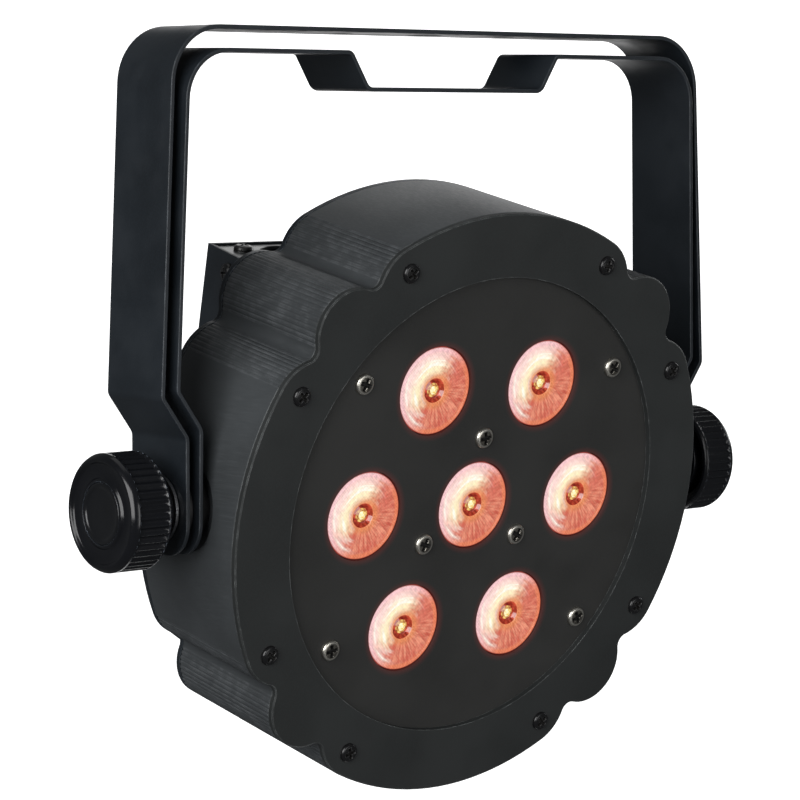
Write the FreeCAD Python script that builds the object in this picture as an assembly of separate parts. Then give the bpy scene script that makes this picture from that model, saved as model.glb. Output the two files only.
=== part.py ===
import FreeCAD
import Part
import math
import os

# LED par can light on a double bracket. Millimetres, +Z up, front towards -Y.
# The origin is the middle of the clamp bolt hole in the top of the outer bracket.
# The head is described level in its own frame (ring face at y = 0, lens axis along y),
# then tilted nose-down about the knob axis.

V = FreeCAD.Vector

# ---- driving dimensions -------------------------------------------------
T_STRIP = 1.2            # bracket sheet
STRIP_W = 25.2           # bracket width
PIVOT_DROP = 129.0       # clamp hole middle down to the knob axis
OUTER_H = 129.6          # knob axis to top face of the outer bracket
INNER_H = 123.6
TILT = 11.3              # head nose-down in the outer bracket
INNER_LEAN = 0.95        # inner bracket leans forward of the outer one
PIVOT_Y = 24.4           # knob axis behind the ring face

R_MAIN = 85.0            # scalloped outline
R_LOBE = 12.6
C_LOBE = 74.8
R_ROUND = 13.5
R_NOTCH = 3.2            # fillet where a small lobe meets a large one
A_ROUND = 17.8
R_OPEN = 66.8            # opening in the ring
RING_T = 1.8
BODY_END = 44.0          # back of the extrusion
PLATE_END = 45.5         # back of the back plate
WALL = 2.5
SCREW_R = 78.2           # ring screws
SCREW_A = 27.8

LENS_PITCH = 40.0
LENS_R = 12.6
PANEL_R = 69.6
PANEL_BACK = 3.0
BOARD_Y = 14.0
SPREAD_Y = 15.6
SPREAD_END = 18.6

BOX_BACK = 82.0          # rear box
BOX_W = 43.7
BOX_H = 58.8
BOX_FLARE = 5.7          # each side wall runs out this far at the front
BOX_T = 1.2

STUD_R = 3.98
HOLE_R = 4.05
KNOB_R = 16.2
KNOB_IN = 100.0
KNOB_OUT = 113.0


# ---- helpers ------------------------------------------------------------
def box(x0, x1, y0, y1, z0, z1):
    return Part.makeBox(x1 - x0, y1 - y0, z1 - z0, V(x0, y0, z0))


def cyl(r, p, d, h):
    return Part.makeCylinder(r, h, V(*p), V(*d))


def ycyl(r, x, z, y0, y1):
    return cyl(r, (x, y0, z), (0, 1, 0), y1 - y0)


def xcyl(r, y, z, x0, x1):
    return cyl(r, (x0, y, z), (1, 0, 0), x1 - x0)


def zcyl(r, x, y, z0, z1):
    return cyl(r, (x, y, z0), (0, 0, 1), z1 - z0)


def fuse(parts):
    out = parts[0].multiFuse(parts[1:]) if len(parts) > 1 else parts[0]
    return out.removeSplitter()


def cut(a, parts):
    return a.cut(Part.makeCompound(parts))


def polar(r, deg):
    a = math.radians(deg)
    return r * math.cos(a), r * math.sin(a)


def revolve_y(points, x=0.0, z=0.0):
    # closed profile of (radius, y) turned about the line through (x, z)
    w = Part.makePolygon([V(x + r, y, z) for r, y in points] + [V(x + points[0][0], points[0][1], z)])
    return Part.Face(w).revolve(V(x, 0, z), V(0, 1, 0), 360)


def revolve_x(points, y=0.0, z=0.0):
    # closed profile of (radius, x)
    w = Part.makePolygon([V(x, y + r, z) for r, x in points] + [V(points[0][1], y + points[0][0], z)])
    return Part.Face(w).revolve(V(0, y, z), V(1, 0, 0), 360)


def mirror_x(shape):
    return shape.mirror(V(0, 0, 0), V(1, 0, 0))


def place_head(shape):
    s = shape.copy()
    s.rotate(V(0, PIVOT_Y, 0), V(1, 0, 0), TILT)
    s.translate(V(0, -PIVOT_Y, -PIVOT_DROP))
    return s


def place_yoke(shape, lean=0.0):
    s = shape.copy()
    s.rotate(V(0, 0, 0), V(1, 0, 0), lean)
    s.translate(V(0, 0, -PIVOT_DROP))
    return s


# ---- scalloped outline --------------------------------------------------
def notch(k):
    # fillet between the small lobe and the rounded end of a large lobe, in the lobe's own axes:
    # its two ends and its middle. The fillet grows as the outline is drawn further in.
    r1 = R_LOBE - k
    r2 = R_ROUND - k
    rf = R_NOTCH + k
    a = math.radians(A_ROUND)
    c2 = ((R_MAIN - R_ROUND) * math.cos(a), (R_MAIN - R_ROUND) * math.sin(a))
    dx = c2[0] - C_LOBE
    dy = c2[1]
    d = math.hypot(dx, dy)
    m = ((r1 + rf) ** 2 - (r2 + rf) ** 2 + d * d) / (2 * d)
    h = math.sqrt((r1 + rf) ** 2 - m * m)
    f = (C_LOBE + (m * dx + h * dy) / d, (m * dy - h * dx) / d)
    to_lobe = (C_LOBE - f[0], -f[1])
    to_round = (c2[0] - f[0], c2[1] - f[1])
    u1 = (to_lobe[0] / (r1 + rf), to_lobe[1] / (r1 + rf))
    u2 = (to_round[0] / (r2 + rf), to_round[1] / (r2 + rf))
    bis = (u1[0] + u2[0], u1[1] + u2[1])
    n = math.hypot(*bis)
    p1 = (f[0] + rf * u1[0], f[1] + rf * u1[1])
    p2 = (f[0] + rf * u2[0], f[1] + rf * u2[1])
    mid = (f[0] + rf * bis[0] / n, f[1] + rf * bis[1] / n)
    return p1, mid, p2


def arc_points(c, r, a0, a1, n):
    return [(c[0] + r * math.cos(a0 + (a1 - a0) * i / n), c[1] + r * math.sin(a0 + (a1 - a0) * i / n))
            for i in range(n + 1)]


def fluted(c, r, a0, a1, n, depth):
    # n flutes along an arc: list of (start, middle, end) for land and groove
    out = []
    step = (a1 - a0) / n
    for i in range(n):
        s = a0 + step * i
        for f0, f1, d in ((0.0, 0.14, 0.0), (0.14, 0.86, depth), (0.86, 1.0, 0.0)):
            q = []
            for f, dd in ((f0, 0.0), ((f0 + f1) / 2, d), (f1, 0.0)):
                a = s + step * f
                q.append((c[0] + (r - dd) * math.cos(a), c[1] + (r - dd) * math.sin(a)))
            out.append(q)
    return out


def lobe_segments(k, flutes):
    # segments of one diagonal corner in its own axes, from -A_ROUND to +A_ROUND
    pl, pm, pr = notch(k)
    a = math.radians(A_ROUND)
    rc = R_MAIN - R_ROUND
    c2 = (rc * math.cos(a), rc * math.sin(a))
    r2 = R_ROUND - k
    b0 = math.atan2(pr[1] - c2[1], pr[0] - c2[0])
    b1 = a
    l0 = math.atan2(pl[1], pl[0] - C_LOBE)
    n1 = 8 if flutes else 1
    n2 = 18 if flutes else 1
    dep = 0.24 if flutes else 0.0
    low = fluted((c2[0], -c2[1]), r2, -b1, -b0, n1, dep)
    mid = fluted((C_LOBE, 0.0), R_LOBE - k, -l0, l0, n2, dep)
    top = fluted(c2, r2, b0, b1, n1, dep)
    valley = [[pl, pm, pr]]
    valley_low = [[(pr[0], -pr[1]), (pm[0], -pm[1]), (pl[0], -pl[1])]]
    return low + valley_low + mid + valley + top


def outline(y, k=0.0, flutes=False):
    edges = []
    a = math.radians(A_ROUND)
    for q in range(4):
        d = math.radians(45 + 90 * q)
        cd, sd = math.cos(d), math.sin(d)
        for seg in lobe_segments(k, flutes):
            p = [V(u * cd - v * sd, y, u * sd + v * cd) for u, v in seg]
            edges.append(Part.Arc(p[0], p[1], p[2]).toShape())
        rm = R_MAIN - k
        angs = (d + a, d + math.pi / 4, d + math.pi / 2 - a)
        p = [V(rm * math.cos(t), y, rm * math.sin(t)) for t in angs]
        edges.append(Part.Arc(p[0], p[1], p[2]).toShape())
    return Part.Wire(Part.sortEdges(edges)[0])


def slab(y0, y1, k=0.0, flutes=False):
    return Part.Face(outline(y0, k, flutes)).extrude(V(0, y1 - y0, 0))


def ring_points():
    pts = []
    for q in range(4):
        for s in (-1, 1):
            pts.append(polar(SCREW_R, 90 * q + s * SCREW_A))
    return pts


def lens_points():
    return [(0.0, 0.0)] + [polar(LENS_PITCH, 60 * i) for i in range(6)]


PANEL_OUT = [(46.5, 38.2), (-46.5, 38.2), (-46.5, -38.2), (46.5, -38.2)]
PANEL_IN = [polar(20.0, a) for a in (90, 210, 330)]


# ---- screws -------------------------------------------------------------
def pan_screw(r, h, shank_r, length):
    # head stands on z = 0 and points +z, shank goes down
    prof = [(0, -length), (shank_r, -length), (shank_r, 0), (r, 0), (r, h * 0.35), (r * 0.93, h * 0.66),
            (r * 0.74, h * 0.88), (r * 0.45, h), (0, h)]
    w = Part.makePolygon([V(a, 0, b) for a, b in prof] + [V(prof[0][0], 0, prof[0][1])])
    s = Part.Face(w).revolve(V(0, 0, 0), V(0, 0, 1), 360)
    arm = r * 0.56
    slot = r * 0.13
    rec = box(-arm, arm, -slot, slot, h * 0.35, h + 1).fuse(box(-slot, slot, -arm, arm, h * 0.35, h + 1))
    return s.cut(rec)


def aim(shape, pos, direction, spin=0.0):
    s = shape.copy()
    s.rotate(V(0, 0, 0), V(0, 0, 1), spin)
    rot = FreeCAD.Rotation(V(0, 0, 1), V(*direction))
    s.Placement = FreeCAD.Placement(V(*pos), rot).multiply(s.Placement)
    return s


def screw_group(positions, direction, r=2.9, h=1.8, shank=1.45, length=8.0):
    one = pan_screw(r, h, shank, length)
    return Part.makeCompound([aim(one, p, direction, 17.0 + 31.0 * i) for i, p in enumerate(positions)])


# ---- brackets -----------------------------------------------------------
def offset_corners(pts, t):
    # shift every segment to its right-hand side by t and intersect neighbours
    lines = []
    for (x0, z0), (x1, z1) in zip(pts[:-1], pts[1:]):
        ln = math.hypot(x1 - x0, z1 - z0)
        nx, nz = (z1 - z0) / ln, -(x1 - x0) / ln
        lines.append(((x0 + nx * t, z0 + nz * t), ((x1 - x0) / ln, (z1 - z0) / ln)))
    out = [lines[0][0]]
    for (p, d), (q, e) in zip(lines[:-1], lines[1:]):
        den = d[0] * e[1] - d[1] * e[0]
        s = ((q[0] - p[0]) * e[1] - (q[1] - p[1]) * e[0]) / den
        out.append((p[0] + d[0] * s, p[1] + d[1] * s))
    (x0, z0), (x1, z1) = pts[-2:]
    ln = math.hypot(x1 - x0, z1 - z0)
    out.append((x1 + (z1 - z0) / ln * t, z1 - (x1 - x0) / ln * t))
    return out


def turn(a, b, c):
    return (b[0] - a[0]) * (c[1] - b[1]) - (b[1] - a[1]) * (c[0] - b[0])


def rounded_path(pts, radii):
    # list of edges in the plane y = 0 through pts with filleted corners
    out = []
    start = V(pts[0][0], 0, pts[0][1])
    for i in range(1, len(pts) - 1):
        p = V(pts[i][0], 0, pts[i][1])
        a = V(pts[i - 1][0], 0, pts[i - 1][1]).sub(p)
        b = V(pts[i + 1][0], 0, pts[i + 1][1]).sub(p)
        a.normalize()
        b.normalize()
        half = math.acos(max(-1, min(1, a.dot(b)))) / 2
        d = radii[i - 1] / math.tan(half)
        t0 = p.add(V(a).multiply(d))
        t1 = p.add(V(b).multiply(d))
        bis = a.add(b)
        bis.normalize()
        mid = p.add(bis.multiply(radii[i - 1] / math.sin(half) - radii[i - 1]))
        out.append(Part.LineSegment(start, t0).toShape())
        out.append(Part.Arc(t0, mid, t1).toShape())
        start = t1
    out.append(Part.LineSegment(start, V(pts[-1][0], 0, pts[-1][1])).toShape())
    return out


def strip(pts, radii, t, width):
    inner = offset_corners(pts, t)
    r2 = []
    for i in range(1, len(pts) - 1):
        r2.append(radii[i - 1] - t if turn(pts[i - 1], pts[i], pts[i + 1]) < 0 else radii[i - 1] + t)
    e1 = rounded_path(pts, radii)
    e2 = rounded_path(inner, r2)
    p0, p1 = V(pts[0][0], 0, pts[0][1]), V(pts[-1][0], 0, pts[-1][1])
    q0, q1 = V(inner[0][0], 0, inner[0][1]), V(inner[-1][0], 0, inner[-1][1])
    edges = e1 + e2 + [Part.LineSegment(p0, q0).toShape(), Part.LineSegment(p1, q1).toShape()]
    face = Part.Face(Part.Wire(Part.sortEdges(edges)[0]))
    face.translate(V(0, -width / 2, 0))
    return face.extrude(V(0, width, 0))


def bracket(h, a0, slope, jog_hi, jog_lo, x_lo, bottom, corner_r, hat=None):
    leg = [(x_lo, -bottom), (x_lo, jog_lo), (a0 - slope * jog_hi, jog_hi), (a0 - slope * h, h)]
    rad = [3.0, 3.0, corner_r]
    left = [(-x, z) for x, z in leg]
    right = list(reversed(leg))
    mid, rmid = [], []
    if hat:
        top_x, low_x, depth = hat
        mid = [(-top_x, h), (-low_x, h - depth), (low_x, h - depth), (top_x, h)]
        rmid = [2.6, 2.6, 2.6, 2.6]
    s = strip(left + mid + right, rad + rmid + list(reversed(rad)), T_STRIP, STRIP_W)
    s = cut(s, [leg_corner(x, y, bottom) for x in (-1, 1) for y in (-1, 1)])
    return s


def leg_corner(sx, sy, bottom):
    # waste outside a rounded lower corner
    r = 9.0
    w = STRIP_W / 2
    x0 = 70 if sx > 0 else -120
    b = box(x0, x0 + 50, 0, r + 1, -bottom - 1, -bottom + r)
    c = xcyl(r, 0, -bottom + r, x0, x0 + 50)
    b = b.cut(c)
    if sy < 0:
        b = b.mirror(V(0, 0, 0), V(0, 1, 0))
    b.translate(V(0, sy * (w - r), 0))
    return b


def outer_yoke():
    s = bracket(OUTER_H, 102.8, 0.045, 30.6, 19.6, 93.5, 12.6, 16.0)
    holes = [xcyl(HOLE_R, 0, 0, -120, 120), zcyl(5.25, 0, 0, 120, 140)]
    holes += [zcyl(3.2, x, 0, 120, 140) for x in (-30, 30)]
    return place_yoke(cut(s, holes))


def inner_yoke():
    s = bracket(INNER_H, 97.9, 0.034, 32.4, 21.8, 89.2, 12.6, 14.0, (38.0, 31.8, 10.1))
    holes = [xcyl(HOLE_R, 0, 0, -120, 120), zcyl(5.25, 0, 0, 100, 140)]
    return place_yoke(cut(s, holes), INNER_LEAN)


def yoke_spacers():
    one = xcyl(10.0, 0, 0, 89.2, 92.0).cut(xcyl(HOLE_R, 0, 0, 80, 100))
    return place_yoke(Part.makeCompound([one, mirror_x(one)]), INNER_LEAN)


# ---- head: front --------------------------------------------------------
def housing():
    s = slab(RING_T, BODY_END, 0.0, True)
    core = slab(RING_T - 1, BODY_END + 1, WALL)
    bosses = []
    for x, z in ring_points():
        web = ycyl(3.0, x * 81.5 / SCREW_R, z * 81.5 / SCREW_R, RING_T, BODY_END)
        bosses.append(ycyl(3.7, x, z, RING_T, BODY_END).fuse(web))
    s = s.cut(core.cut(Part.makeCompound(bosses)))
    holes = [ycyl(1.5, x, z, 0, 50) for x, z in ring_points()]
    holes.append(xcyl(6.4, PIVOT_Y, 0, -100, 100))
    holes += [xcyl(12.5, PIVOT_Y, 0, 83.0, 90), xcyl(12.5, PIVOT_Y, 0, -90, -83.0)]
    return cut(s, holes)


def front_ring():
    s = slab(0, RING_T)
    edges = []
    for e in s.Edges:
        b = e.BoundBox
        if b.YMax < 0.01:
            edges.append(e)
    try:
        s = s.makeChamfer(0.3, edges)
    except Exception:
        print("ring edge left sharp")
    holes = [ycyl(R_OPEN, 0, 0, -1, 3)]
    holes += [ycyl(1.6, x, z, -1, 3) for x, z in ring_points()]
    return cut(s, holes)


def front_panel():
    s = ycyl(PANEL_R, 0, 0, RING_T, PANEL_BACK)
    holes = [ycyl(12.9, x, z, 0, 5) for x, z in lens_points()]
    holes += [ycyl(1.6, x, z, 0, 5) for x, z in PANEL_OUT + PANEL_IN]
    return cut(s, holes)


def panel_standoffs():
    out = []
    for x, z in PANEL_OUT:
        out.append(ycyl(3.2, x, z, PANEL_BACK, SPREAD_Y).cut(ycyl(1.5, x, z, 0, 12)))
    for x, z in PANEL_IN:
        out.append(ycyl(3.2, x, z, PANEL_BACK, BOARD_Y).cut(ycyl(1.5, x, z, 0, 12)))
    return Part.makeCompound(out)


def lens_profile():
    # flat front with a small well, cone towards the emitter, cup round it
    return [(3.6, 2.4), (LENS_R, 2.4), (LENS_R, 4.2), (11.4, 5.0), (9.6, 8.0), (7.4, 10.8), (5.2, 13.2),
            (3.4, 13.2), (3.0, 9.6), (0.0, 9.0), (0.0, 6.6), (3.3, 6.6)]


def lenses():
    return Part.makeCompound([revolve_y(lens_profile(), x, z) for x, z in lens_points()])


def lens_holders():
    prof = [(12.8, 3.2), (13.6, 3.2), (13.6, 6.0), (11.6, 9.5), (8.6, 12.4), (8.6, 13.8), (6.2, 13.8),
            (6.2, 12.9), (8.2, 10.9), (10.5, 8.0), (12.2, 5.2), (12.8, 4.6)]
    return Part.makeCompound([revolve_y(prof, x, z) for x, z in lens_points()])


def led_board():
    s = ycyl(57.0, 0, 0, BOARD_Y, SPREAD_Y)
    holes = [ycyl(1.6, x, z, 10, 20) for x, z in PANEL_IN]
    holes += [ycyl(3.4, x, z, 10, 20) for x, z in PANEL_OUT]
    holes.append(box(-4, 4, 10, 20, -60, -53))
    return cut(s, holes)


def emitters():
    out = []
    for x, z in lens_points():
        b = box(x - 2.3, x + 2.3, 13.3, BOARD_Y, z - 2.3, z + 2.3)
        dome = Part.makeSphere(2.3, V(x, 13.9, z)).common(ycyl(3, x, z, 10, 13.4))
        out.append(fuse([b, dome]))
    return Part.makeCompound(out)


def heat_plate():
    s = slab(SPREAD_Y, SPREAD_END, WALL + 0.1)
    holes = [ycyl(4.2, x, z, 10, 25) for x, z in ring_points()]
    holes += [box(71, 90, 10, 25, -12, 12), box(-90, -71, 10, 25, -12, 12)]
    holes += [box(-6, 6, 10, 25, -72, -62)]
    holes += [ycyl(3.2, x * 81.5 / SCREW_R, z * 81.5 / SCREW_R, 10, 25) for x, z in ring_points()]
    return cut(s, holes)


def plate_brackets():
    out = []
    for a in (75, 105, 255, 285):
        inside = ycyl(R_MAIN - WALL - 0.1, 0, 0, 10, 40)
        arm = box(68, 83, SPREAD_END, SPREAD_END + 1.2, -5, 5)
        lip = box(80.6, 83.5, SPREAD_END, SPREAD_END + 10, -5, 5)
        one = fuse([arm.common(inside), lip.common(inside)])
        one.rotate(V(0, 0, 0), V(0, -1, 0), a)
        out.append(one)
    return Part.makeCompound(out)


def pivot_inserts():
    prof = [(HOLE_R, 74.5), (8.6, 74.5), (8.6, 79.6), (6.35, 79.6), (6.35, 83.0), (HOLE_R, 83.0)]
    one = revolve_x(prof, PIVOT_Y, 0)
    return Part.makeCompound([one, mirror_x(one)])


def pivot_pads():
    one = xcyl(9.2, PIVOT_Y, 0, 83.0, 87.6).cut(xcyl(HOLE_R, PIVOT_Y, 0, 80, 90))
    return Part.makeCompound([one, mirror_x(one)])


# ---- head: driver -------------------------------------------------------
def driver_posts():
    return Part.makeCompound([ycyl(2.6, x, z, SPREAD_END, 24.0) for x in (-50, 50) for z in (-30, 30)])


def driver_board():
    s = box(-56, 56, 24.0, 25.6, -36, 36)
    return cut(s, [ycyl(1.6, x, z, 20, 30) for x in (-50, 50) for z in (-30, 30)])


def transformer():
    core = box(-30, -6, 27.0, 41.0, -16, 10)
    coil = box(-27, -9, 25.6, 42.4, -10, 4)
    return fuse([core, coil])


def capacitors():
    out = []
    for x, z, r, h in ((8, -20, 6.3, 16), (22, -20, 5.0, 15), (36, -22, 5.0, 13), (-40, 18, 8.0, 14)):
        out.append(ycyl(r, x, z, 25.6, 25.6 + h))
    return Part.makeCompound(out)


def driver_sink():
    fins = [box(6, 42, 25.6, 27.6, 2, 26)]
    fins += [box(6 + 5.8 * i, 7.4 + 5.8 * i, 25.6, 40.0, 2, 26) for i in range(7)]
    return fuse(fins)


def fuse_link():
    clips = [box(-44, -41, 25.6, 31.0, z, z + 4) for z in (-28, -12)]
    tube = cyl(2.6, (-42.5, 30.0, -28), (0, 0, 1), 20)
    return fuse(clips + [tube])


# ---- head: back plate and rear box --------------------------------------
def back_plate():
    s = slab(BODY_END, PLATE_END)
    holes = [ycyl(1.6, x, z, 40, 50) for x, z in ring_points()]
    holes += [box(-32, 32, 40, 50, -44, -24)]
    for sx in (-1, 1):
        for i in range(7):
            z = -21 + 7 * i
            holes.append(box(min(sx * 55, sx * 71), max(sx * 55, sx * 71), 40, 50, z - 1.2, z + 1.2))
    holes += [ycyl(1.6, x, z, 40, 50) for x in (-30, 30) for z in (-63, 63)]
    return cut(s, holes)


def box_prism(g, z0, z1, y0=PLATE_END, y1=BOX_BACK):
    # tapered plan of the rear box, shrunk by g on the sides
    def half(y):
        return BOX_W + BOX_FLARE * (BOX_BACK - y) / (BOX_BACK - PLATE_END) - g
    pts = [V(-half(y0), y0, z0), V(half(y0), y0, z0), V(half(y1), y1, z0), V(-half(y1), y1, z0)]
    return Part.Face(Part.makePolygon(pts + [pts[0]])).extrude(V(0, 0, z1 - z0))


SIDE_SCREWS = [(67.7, 53.3), (67.7, -53.3)]
TOP_SCREWS = [(-37.0, 73.5), (37.0, 73.5)]
SOCKET_SCREWS = [(-31.2, 59.0), (-13.2, 77.0), (31.2, 59.0), (13.2, 77.0)]
BTN_X = [-18.0, -6.0, 6.0, 18.0]
BTN_Z = 6.0
DISP_Z = 25.0


def side_x(y):
    return BOX_W + BOX_FLARE * (BOX_BACK - y) / (BOX_BACK - PLATE_END)


def rear_cover():
    s = box_prism(0, -BOX_H, BOX_H)
    s = s.cut(box_prism(BOX_T * 1.01, -BOX_H - 1, BOX_H + 1, PLATE_END - 0.001, BOX_BACK - BOX_T))
    holes = [ycyl(3.06, x, BTN_Z, 75, 90) for x in BTN_X]
    holes.append(box(-17, 17, 75, 90, DISP_Z - 7, DISP_Z + 7))
    for y, z in SIDE_SCREWS:
        holes.append(xcyl(1.6, y, z, -60, 60))
    for i in range(6):
        holes.append(box(-22 + 8 * i, -18 + 8 * i, 75, 90, -42, -20))
    holes += [ycyl(1.6, x, 48.0, 75, 90) for x in (-7, 7)]
    return cut(s, holes)


def end_plate(top):
    # sheet between the side walls with tabs for its screws; drawn as the upper one
    g = BOX_T * 1.01 + 0.05
    z1 = BOX_H - 0.6
    z0 = z1 - BOX_T
    s = box_prism(g, z0, z1, PLATE_END, BOX_BACK - BOX_T - 0.05)
    parts = [s, box(-33.5, 33.5, PLATE_END, PLATE_END + BOX_T, z0, 67.0)]
    for sx in (-1, 1):
        y0, y1 = 61.0, 76.0
        a = side_x(y0) - g
        b = side_x(y1) - g
        pts = [V(sx * a, y0, z0 - 9), V(sx * (a - BOX_T), y0, z0 - 9), V(sx * (b - BOX_T), y1, z0 - 9),
               V(sx * b, y1, z0 - 9)]
        parts.append(Part.Face(Part.makePolygon(pts + [pts[0]])).extrude(V(0, 0, 10)))
    s = fuse(parts)
    holes = [xcyl(1.8, 67.7, 53.3, -60, 60)]
    holes += [ycyl(1.6, x, 63.0, 40, 50) for x in (-30, 30)]
    if top:
        holes += [zcyl(10.3, x, 68.0, 50, 70) for x in (-22.2, 22.2)]
        holes += [zcyl(1.5, x, y, 50, 70) for x, y in TOP_SCREWS]
        holes += [zcyl(1.1, x, y, 50, 70) for x, y in SOCKET_SCREWS]
    else:
        holes += [box(x - 13.7, x + 13.7, 54.0, 74.2, 50, 70) for x in (-20.5, 20.5)]
    s = cut(s, holes)
    if not top:
        s = s.mirror(V(0, 0, 0), V(0, 0, 1))
    return s


def top_screw_blocks():
    # folded tabs of the cover that take the vertical screws
    out = []
    for x, y in TOP_SCREWS:
        sign = 1 if x > 0 else -1
        edges = sorted((x - sign * 2.6, x + sign * 4.5))
        b = box(edges[0], edges[1], y - 4.5, BOX_BACK - BOX_T, 54.6, 56.9)
        out.append(b.cut(zcyl(1.4, x, y, 50, 60)))
    return Part.makeCompound(out)


def xlr_body(x, male):
    zt = BOX_H - 1.8 - 0.05
    y = 68.0
    b = fuse([zcyl(11.6, x, y, 38.0, zt), box(x - 11.9, x + 11.9, y - 11.8, y + 11.8, zt - 2.4, zt)])
    b = cut(b, [zcyl(9.9, x, y, 42.0, zt + 1)])
    b = cut(b, [zcyl(1.15, sx, sy, 50, 60) for sx, sy in SOCKET_SCREWS])
    if male:
        key = box(x - 1.6, x + 1.6, y + 8.6, y + 10.4, 42.0, zt)
        return fuse([b, key])
    ins = zcyl(8.9, x, y, 42.0, zt - 1.0)
    ins = cut(ins, [zcyl(1.35, x + px, y + py, 44, 60) for px, py in xlr_pins()])
    return fuse([b, ins])


def xlr_pins():
    return [(-4.0, 1.4), (4.0, 1.4), (0.0, -4.2)]


def dmx_in_pins():
    out = []
    for px, py in xlr_pins():
        out.append(zcyl(1.2, -22.2 + px, 68.0 + py, 34.0, 51.5))
    return Part.makeCompound(out)


def socket_screws():
    one = pan_screw(1.9, 1.1, 1.0, 4.6)
    return Part.makeCompound([aim(one, (x, y, BOX_H - 0.6), (0, 0, 1), 20) for x, y in SOCKET_SCREWS])


def power_shell(x, inlet):
    # panel body pushed up through the bottom plate
    zb = -BOX_H + 0.6
    rim = box(x - 15.4, x + 15.4, 51.9, 76.3, zb - 1.8, zb)
    body = box(x - 13.4, x + 13.4, 54.3, 73.9, zb, zb + 19)
    s = fuse([rim, body])
    if inlet:
        well = box(x - 12.0, x + 12.0, 56.2, 72.0, zb - 3, zb + 14.5)
        return s.cut(well)
    moat = box(x - 12.2, x + 12.2, 56.0, 72.2, zb - 3, zb + 14.5)
    core = box(x - 11.4, x + 11.4, 56.8, 71.4, zb - 1.8, zb + 15)
    core = cut(core, [box(x + px - 1.3, x + px + 1.3, py - 2.2, py + 2.2, zb - 3, zb + 12)
                      for px, py in blades()])
    return fuse([s.cut(moat), core])


def blades():
    return [(-7.0, 62.0), (7.0, 62.0), (0.0, 66.6)]


def inlet_blades():
    zb = -BOX_H + 0.6
    return Part.makeCompound([box(-20.5 + px - 1, -20.5 + px + 1, py - 2, py + 2, zb + 4.0, zb + 23)
                              for px, py in blades()])


def display_module():
    return box(-16.4, 16.4, 76.0, 80.3, DISP_Z - 6.5, DISP_Z + 6.5)


def display_window():
    lens = box(-16.9, 16.9, 80.85, 82.0, DISP_Z - 6.9, DISP_Z + 6.9)
    frame = box(-18.5, 18.5, 82.0, 82.6, DISP_Z - 8.5, DISP_Z + 8.5)
    return fuse([lens, frame])


def control_board():
    return box(-34, 34, 74.4, 76.0, -4, 35.5)


def key_switches():
    out = []
    for x in BTN_X:
        out.append(fuse([box(x - 3, x + 3, 76.0, 77.6, BTN_Z - 3, BTN_Z + 3),
                         ycyl(1.6, x, BTN_Z, 76.5, 78.0)]))
    return Part.makeCompound(out)


def button(i):
    x = BTN_X[i]
    return fuse([ycyl(3.0, x, BTN_Z, 78.55, 83.2), ycyl(4.2, x, BTN_Z, 78.55, 79.6)])


def safety_eye():
    base = box(-11, 11, BOX_BACK, BOX_BACK + 1.5, 42.5, 53.5)
    fin = box(-1.0, 1.0, BOX_BACK, BOX_BACK + 15.0, 42.5, 53.5)
    tip = xcyl(5.5, BOX_BACK + 15.0, 48.0, -1.0, 1.0)
    s = fuse([base, fin, tip])
    return cut(s, [xcyl(3.2, BOX_BACK + 14.6, 48.0, -5, 5)] + [ycyl(1.6, x, 48.0, 75, 90) for x in (-7, 7)])


def earth_stud():
    s = fuse([ycyl(2.0, 0, -50, PLATE_END, PLATE_END + 9), ycyl(3.8, 0, -50, PLATE_END + 2, PLATE_END + 4.4)])
    return s


def tube_path(pts, r):
    edges = []
    for a, b in zip(pts[:-1], pts[1:]):
        va, vb = V(*a), V(*b)
        edges.append(Part.makeCylinder(r, va.distanceToPoint(vb), va, vb.sub(va)))
        edges.append(Part.makeSphere(r, vb))
    return fuse(edges[:-1])


def wiring():
    out = []
    for dx in (-2.4, 0.0, 2.4):
        led = [(dx, 25.7, -38.6), (dx, 22.0, -66.0), (dx, 13.0, -66.0), (dx, 13.0, -52.0)]
        out.append(tube_path(led, 0.8))
    for x in (-27.5, -20.5, -13.5):
        mains = [(x, 62.0, -33.2), (x, 55.0, -32.0), (x * 0.9, 40.0, -32.0), (x * 0.9, 26.6, -34.0)]
        out.append(tube_path(mains, 1.0))
    for sx in (-1, 1):
        bend = [(sx * 22.2, 66.0, 33.8), (sx * 28.0, 66.0, 28.0), (sx * 28.0, 73.2, 20.0)]
        out.append(tube_path(bend, 1.5))
    return Part.makeCompound(out)


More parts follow.
